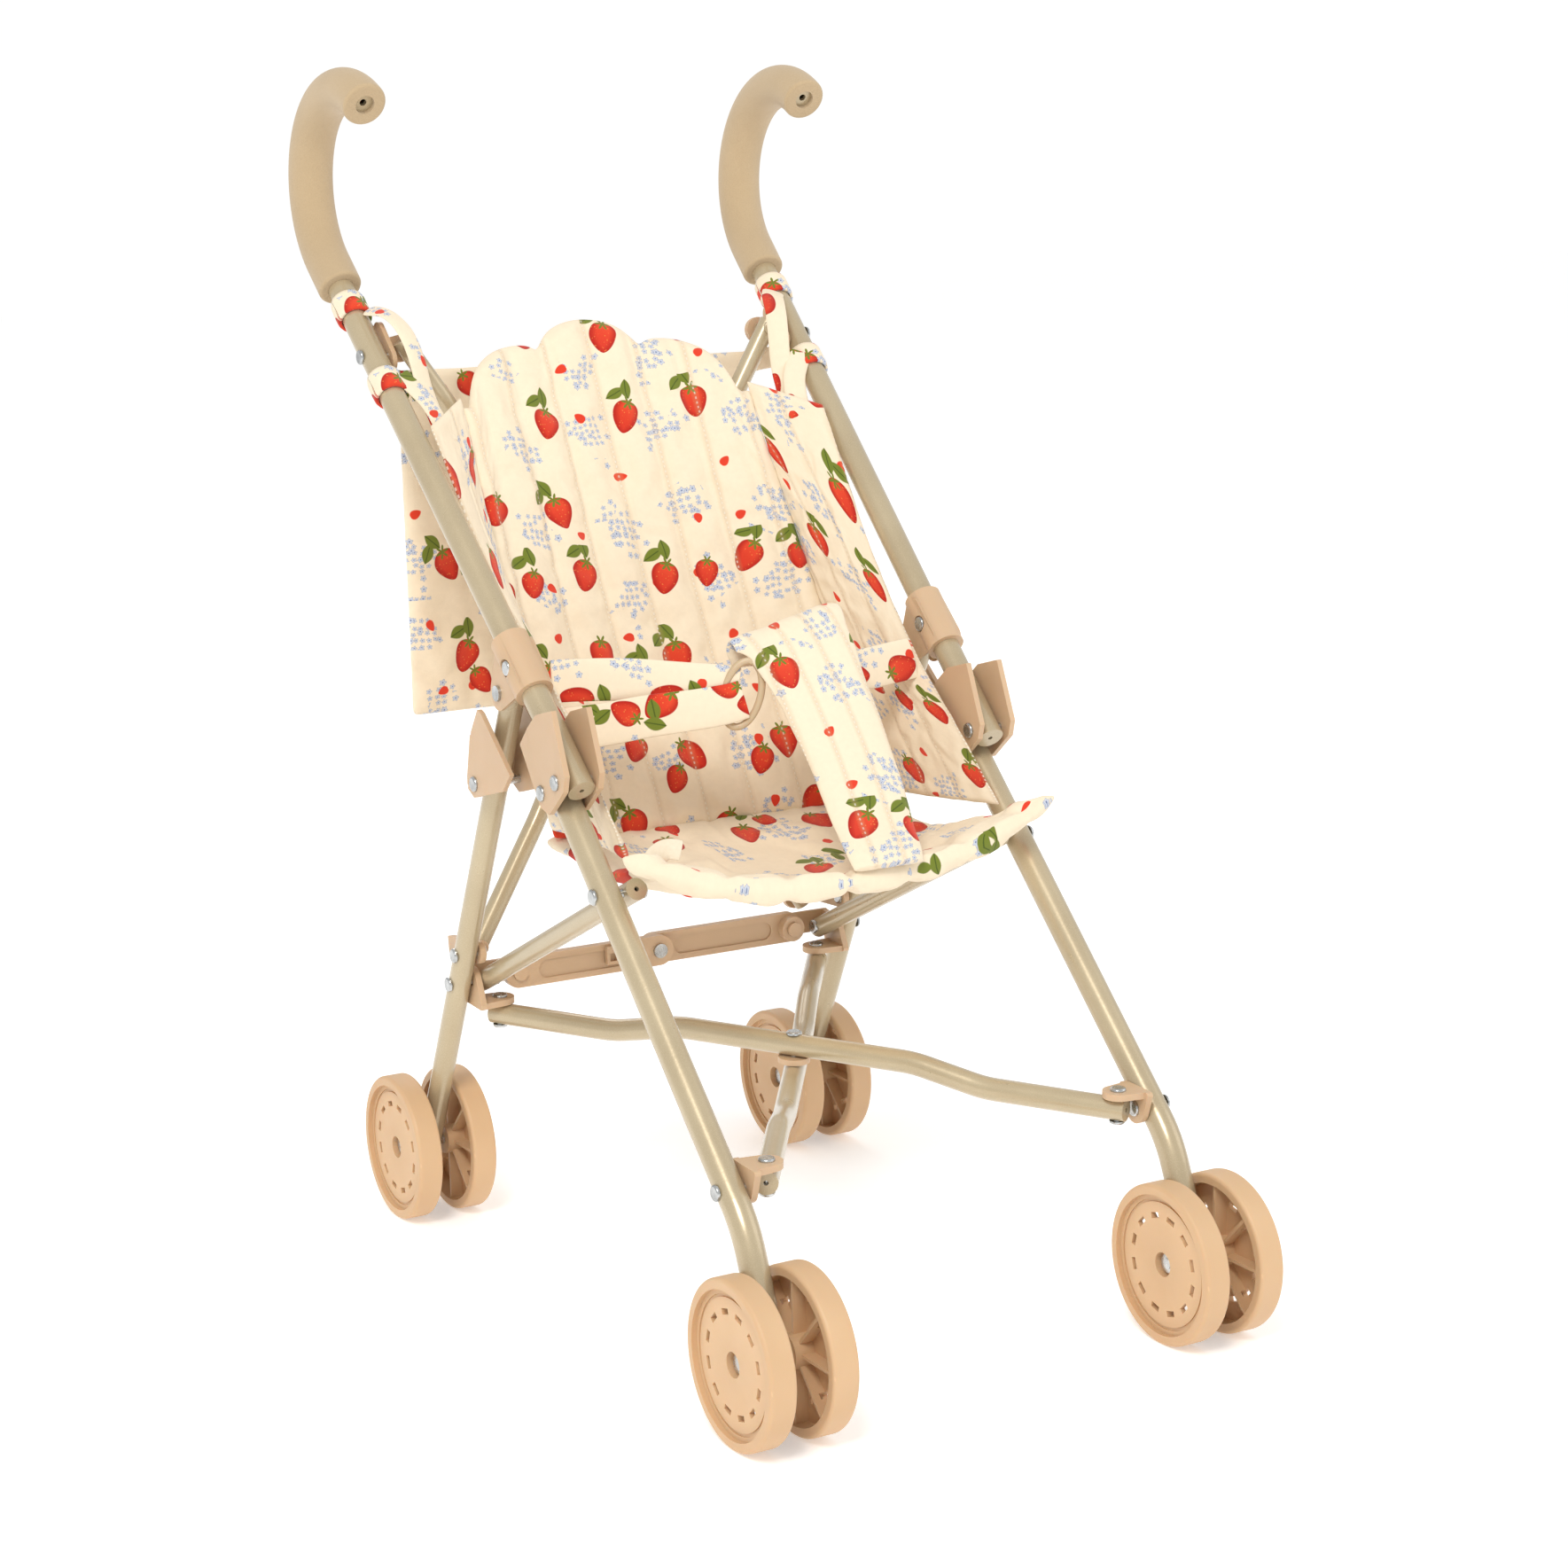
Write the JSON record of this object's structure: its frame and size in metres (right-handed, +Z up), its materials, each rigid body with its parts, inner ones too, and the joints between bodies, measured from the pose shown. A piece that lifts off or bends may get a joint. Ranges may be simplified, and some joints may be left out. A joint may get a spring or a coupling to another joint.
{
  "type": "doll stroller",
  "caption": "Folding umbrella-style doll stroller with hooked foam grips, a sling seat in printed fabric, crossing tubes under and behind the seat, and twin wheels on each leg.",
  "frame": {"origin": "centre of the footprint on the floor, under the middle of the overall box", "axes": "+Z up; +Y from the front wheels towards the back, so the doll looks along -Y; +X across the stroller, to the doll's left"},
  "size_m": [0.2614, 0.4612, 0.563],
  "materials": {
    "tube_paint": "gloss champagne lacquer on thin steel tube",
    "bracket_plastic": "semi-gloss moulded plastic, peach beige",
    "rivet_steel": "bright plated steel",
    "wheel_plastic": "satin moulded plastic, beige",
    "grip_foam": "matte closed-cell foam, fine grain",
    "ring_plastic": "moulded plastic, beige",
    "webbing": "folded printed cotton tape, stitched edges",
    "printed_cotton": "cream cotton with a strawberry print, quilted seat"
  },
  "bodies": {
    "cross_centre": {"cross_pivot_rivet": "rivet_steel", "cross_spacer": "bracket_plastic"},
    "cross_upper": {"cross_bar_upper": "tube_paint", "cross_rivets_upper": "rivet_steel"},
    "cross_lower": {"cross_bar_lower": "tube_paint", "cross_rivets_lower": "rivet_steel"},
    "front_bracket_right": {"cross_bracket_front_right": "bracket_plastic"},
    "rear_bracket_right": {"cross_bracket_rear_right": "bracket_plastic"},
    "front_frame_right": {"front_leg_right": "tube_paint", "hinge_bracket_right": "bracket_plastic", "front_pins_right": "rivet_steel"},
    "handle_right": {"handle_tube_right": "tube_paint", "handle_grip_right": "grip_foam", "handle_collar_right": "bracket_plastic", "handle_rivets_right": "rivet_steel", "top_bracket_right": "bracket_plastic", "hanger_loop_right": "webbing", "side_wing_right": "printed_cotton"},
    "link_right": {"side_link_right": "tube_paint"},
    "rear_frame_right": {"rear_leg_right": "tube_paint", "rear_cradle_right": "bracket_plastic", "rear_pins_right": "rivet_steel"},
    "back_link_right": {"back_bracket_right": "bracket_plastic"},
    "back_cross_right": {"back_bar_right": "tube_paint"},
    "strut_right": {"strut_bar_right": "bracket_plastic"},
    "wheel_front_outer_right": {"wheel_front_outer_right": "wheel_plastic"},
    "wheel_front_inner_right": {"wheel_front_inner_right": "wheel_plastic"},
    "wheel_rear_outer_right": {"wheel_rear_outer_right": "wheel_plastic"},
    "wheel_rear_inner_right": {"wheel_rear_inner_right": "wheel_plastic"},
    "front_bracket_left": {"cross_bracket_front_left": "bracket_plastic"},
    "rear_bracket_left": {"cross_bracket_rear_left": "bracket_plastic"},
    "front_frame_left": {"front_leg_left": "tube_paint", "hinge_bracket_left": "bracket_plastic", "front_pins_left": "rivet_steel", "seat_pad": "printed_cotton", "crotch_strap": "printed_cotton", "belt_ring": "ring_plastic"},
    "handle_left": {"handle_tube_left": "tube_paint", "handle_grip_left": "grip_foam", "handle_collar_left": "bracket_plastic", "handle_rivets_left": "rivet_steel", "top_bracket_left": "bracket_plastic", "hanger_loop_left": "webbing", "side_wing_left": "printed_cotton", "backrest": "printed_cotton", "rear_bag": "printed_cotton", "lap_belt_left": "webbing", "lap_belt_right": "webbing"},
    "link_left": {"side_link_left": "tube_paint"},
    "rear_frame_left": {"rear_leg_left": "tube_paint", "rear_cradle_left": "bracket_plastic", "rear_pins_left": "rivet_steel"},
    "back_link_left": {"back_bracket_left": "bracket_plastic"},
    "back_cross_left": {"back_bar_left": "tube_paint"},
    "strut_left": {"strut_bar_left": "bracket_plastic", "strut_rivet": "rivet_steel"},
    "wheel_front_outer_left": {"wheel_front_outer_left": "wheel_plastic"},
    "wheel_front_inner_left": {"wheel_front_inner_left": "wheel_plastic"},
    "wheel_rear_outer_left": {"wheel_rear_outer_left": "wheel_plastic"},
    "wheel_rear_inner_left": {"wheel_rear_inner_left": "wheel_plastic"}
  },
  "joints": [
    {"name": "cross_upper_turn", "type": "hinge", "parent": "cross_centre", "child": "cross_upper", "pos_m": [0, -0.02851, 0.1044], "axis": [0, -0.0452, 0.999], "range_deg": [-26.65, 0]},
    {"name": "cross_lower_turn", "type": "hinge", "parent": "cross_centre", "child": "cross_lower", "pos_m": [0, -0.02851, 0.1044], "axis": [0, -0.0452, 0.999], "range_deg": [0, 26.65]},
    {"name": "front_bracket_turn_right", "type": "hinge", "parent": "cross_upper", "child": "front_bracket_right", "pos_m": [0.089, -0.16116, 0.0984], "axis": [0, -0.0452, 0.999], "range_deg": [0, 26.65]},
    {"name": "rear_bracket_turn_right", "type": "hinge", "parent": "cross_lower", "child": "rear_bracket_right", "pos_m": [0.089, 0.10414, 0.1104], "axis": [0, -0.0452, 0.999], "range_deg": [-26.65, 0]},
    {"name": "front_leg_tilt_right", "type": "hinge", "parent": "front_bracket_right", "child": "front_frame_right", "pos_m": [0.107, -0.16216, 0.0974], "axis": [1, 0, 0], "range_deg": [-30.49, 0]},
    {"name": "handle_fold_right", "type": "hinge", "parent": "front_frame_right", "child": "handle_right", "pos_m": [0.107, -0.03056, 0.249], "axis": [1, 0, 0], "range_deg": [0, 100.01], "deforming": ["side_wing_right"]},
    {"name": "link_swing_right", "type": "hinge", "parent": "front_frame_right", "child": "link_right", "pos_m": [0.0945, -0.05606, 0.202], "axis": [1, 0, 0], "range_deg": [0, 53.6]},
    {"name": "rear_leg_swing_right", "type": "hinge", "parent": "link_right", "child": "rear_frame_right", "pos_m": [0.1086, 0.10644, 0.128], "axis": [1, 0, 0], "range_deg": [0, 1.73]},
    {"name": "back_bracket_swing_right", "type": "hinge", "parent": "rear_frame_right", "child": "back_link_right", "pos_m": [0.101, 0.09824, 0.144], "axis": [1, 0, 0], "range_deg": [0, 27.28]},
    {"name": "back_bar_turn_right", "type": "hinge", "parent": "back_link_right", "child": "back_cross_right", "pos_m": [0.091, 0.12344, 0.14], "axis": [0, -0.9928, 0.1194], "range_deg": [-24.41, 0]},
    {"name": "strut_lift_right", "type": "hinge", "parent": "rear_bracket_right", "child": "strut_right", "pos_m": [0.077, 0.11044, 0.1285], "axis": [0, 1, 0], "range_deg": [0, 84.01]},
    {"name": "wheel_spin_front_outer_right", "type": "hinge", "parent": "front_frame_right", "child": "wheel_front_outer_right", "pos_m": [0.1214, -0.19456, 0.036], "axis": [1, 0, 0], "continuous": true},
    {"name": "wheel_spin_front_inner_right", "type": "hinge", "parent": "front_frame_right", "child": "wheel_front_inner_right", "pos_m": [0.0926, -0.19456, 0.036], "axis": [1, 0, 0], "continuous": true},
    {"name": "wheel_spin_rear_outer_right", "type": "hinge", "parent": "rear_frame_right", "child": "wheel_rear_outer_right", "pos_m": [0.123, 0.15344, 0.036], "axis": [1, 0, 0], "continuous": true},
    {"name": "wheel_spin_rear_inner_right", "type": "hinge", "parent": "rear_frame_right", "child": "wheel_rear_inner_right", "pos_m": [0.0942, 0.15344, 0.036], "axis": [1, 0, 0], "continuous": true},
    {"name": "front_bracket_turn_left", "type": "hinge", "parent": "cross_lower", "child": "front_bracket_left", "pos_m": [-0.089, -0.16116, 0.0984], "axis": [0, -0.0452, 0.999], "range_deg": [-26.65, 0]},
    {"name": "rear_bracket_turn_left", "type": "hinge", "parent": "cross_upper", "child": "rear_bracket_left", "pos_m": [-0.089, 0.10414, 0.1104], "axis": [0, -0.0452, 0.999], "range_deg": [0, 26.65]},
    {"name": "front_leg_tilt_left", "type": "hinge", "parent": "front_bracket_left", "child": "front_frame_left", "pos_m": [-0.107, -0.16216, 0.0974], "axis": [1, 0, 0], "range_deg": [-30.49, 0], "deforming": ["seat_pad", "crotch_strap", "belt_ring"]},
    {"name": "handle_fold_left", "type": "hinge", "parent": "front_frame_left", "child": "handle_left", "pos_m": [-0.107, -0.03056, 0.249], "axis": [1, 0, 0], "range_deg": [0, 100], "deforming": ["backrest", "rear_bag", "lap_belt_left", "lap_belt_right", "side_wing_left"]},
    {"name": "link_swing_left", "type": "hinge", "parent": "front_frame_left", "child": "link_left", "pos_m": [-0.0945, -0.05606, 0.202], "axis": [1, 0, 0], "range_deg": [0, 53.6]},
    {"name": "rear_leg_swing_left", "type": "hinge", "parent": "link_left", "child": "rear_frame_left", "pos_m": [-0.1086, 0.10644, 0.128], "axis": [1, 0, 0], "range_deg": [0, 1.73]},
    {"name": "back_bracket_swing_left", "type": "hinge", "parent": "rear_frame_left", "child": "back_link_left", "pos_m": [-0.101, 0.09824, 0.144], "axis": [1, 0, 0], "range_deg": [0, 27.28]},
    {"name": "back_bar_turn_left", "type": "hinge", "parent": "back_link_left", "child": "back_cross_left", "pos_m": [-0.091, 0.12344, 0.14], "axis": [0, -0.9928, 0.1194], "range_deg": [0, 24.41]},
    {"name": "strut_lift_left", "type": "hinge", "parent": "rear_bracket_left", "child": "strut_left", "pos_m": [-0.077, 0.11044, 0.1285], "axis": [0, 1, 0], "range_deg": [-84.01, 0]},
    {"name": "wheel_spin_front_outer_left", "type": "hinge", "parent": "front_frame_left", "child": "wheel_front_outer_left", "pos_m": [-0.1214, -0.19456, 0.036], "axis": [1, 0, 0], "continuous": true},
    {"name": "wheel_spin_front_inner_left", "type": "hinge", "parent": "front_frame_left", "child": "wheel_front_inner_left", "pos_m": [-0.0926, -0.19456, 0.036], "axis": [1, 0, 0], "continuous": true},
    {"name": "wheel_spin_rear_outer_left", "type": "hinge", "parent": "rear_frame_left", "child": "wheel_rear_outer_left", "pos_m": [-0.123, 0.15344, 0.036], "axis": [1, 0, 0], "continuous": true},
    {"name": "wheel_spin_rear_inner_left", "type": "hinge", "parent": "rear_frame_left", "child": "wheel_rear_inner_left", "pos_m": [-0.0942, 0.15344, 0.036], "axis": [1, 0, 0], "continuous": true}
  ],
  "couplings": [
    {"joint": "cross_upper_turn", "follows": "handle_fold_left", "ratio": -0.2664},
    {"joint": "cross_lower_turn", "follows": "handle_fold_left", "ratio": 0.2664},
    {"joint": "front_bracket_turn_right", "follows": "handle_fold_left", "ratio": 0.2664},
    {"joint": "rear_bracket_turn_right", "follows": "handle_fold_left", "ratio": -0.2664},
    {"joint": "front_leg_tilt_right", "follows": "handle_fold_left", "ratio": -0.3048},
    {"joint": "handle_fold_right", "follows": "handle_fold_left", "ratio": 1},
    {"joint": "link_swing_right", "follows": "handle_fold_left", "ratio": 0.5359},
    {"joint": "rear_leg_swing_right", "follows": "handle_fold_left", "ratio": 0.0172},
    {"joint": "back_bracket_swing_right", "follows": "handle_fold_left", "ratio": 0.2727},
    {"joint": "back_bar_turn_right", "follows": "handle_fold_left", "ratio": -0.244},
    {"joint": "strut_lift_right", "follows": "handle_fold_left", "ratio": 0.84},
    {"joint": "front_bracket_turn_left", "follows": "handle_fold_left", "ratio": -0.2664},
    {"joint": "rear_bracket_turn_left", "follows": "handle_fold_left", "ratio": 0.2664},
    {"joint": "front_leg_tilt_left", "follows": "handle_fold_left", "ratio": -0.3048},
    {"joint": "link_swing_left", "follows": "handle_fold_left", "ratio": 0.5359},
    {"joint": "rear_leg_swing_left", "follows": "handle_fold_left", "ratio": 0.0172},
    {"joint": "back_bracket_swing_left", "follows": "handle_fold_left", "ratio": 0.2727},
    {"joint": "back_bar_turn_left", "follows": "handle_fold_left", "ratio": 0.244},
    {"joint": "strut_lift_left", "follows": "handle_fold_left", "ratio": -0.84}
  ]
}
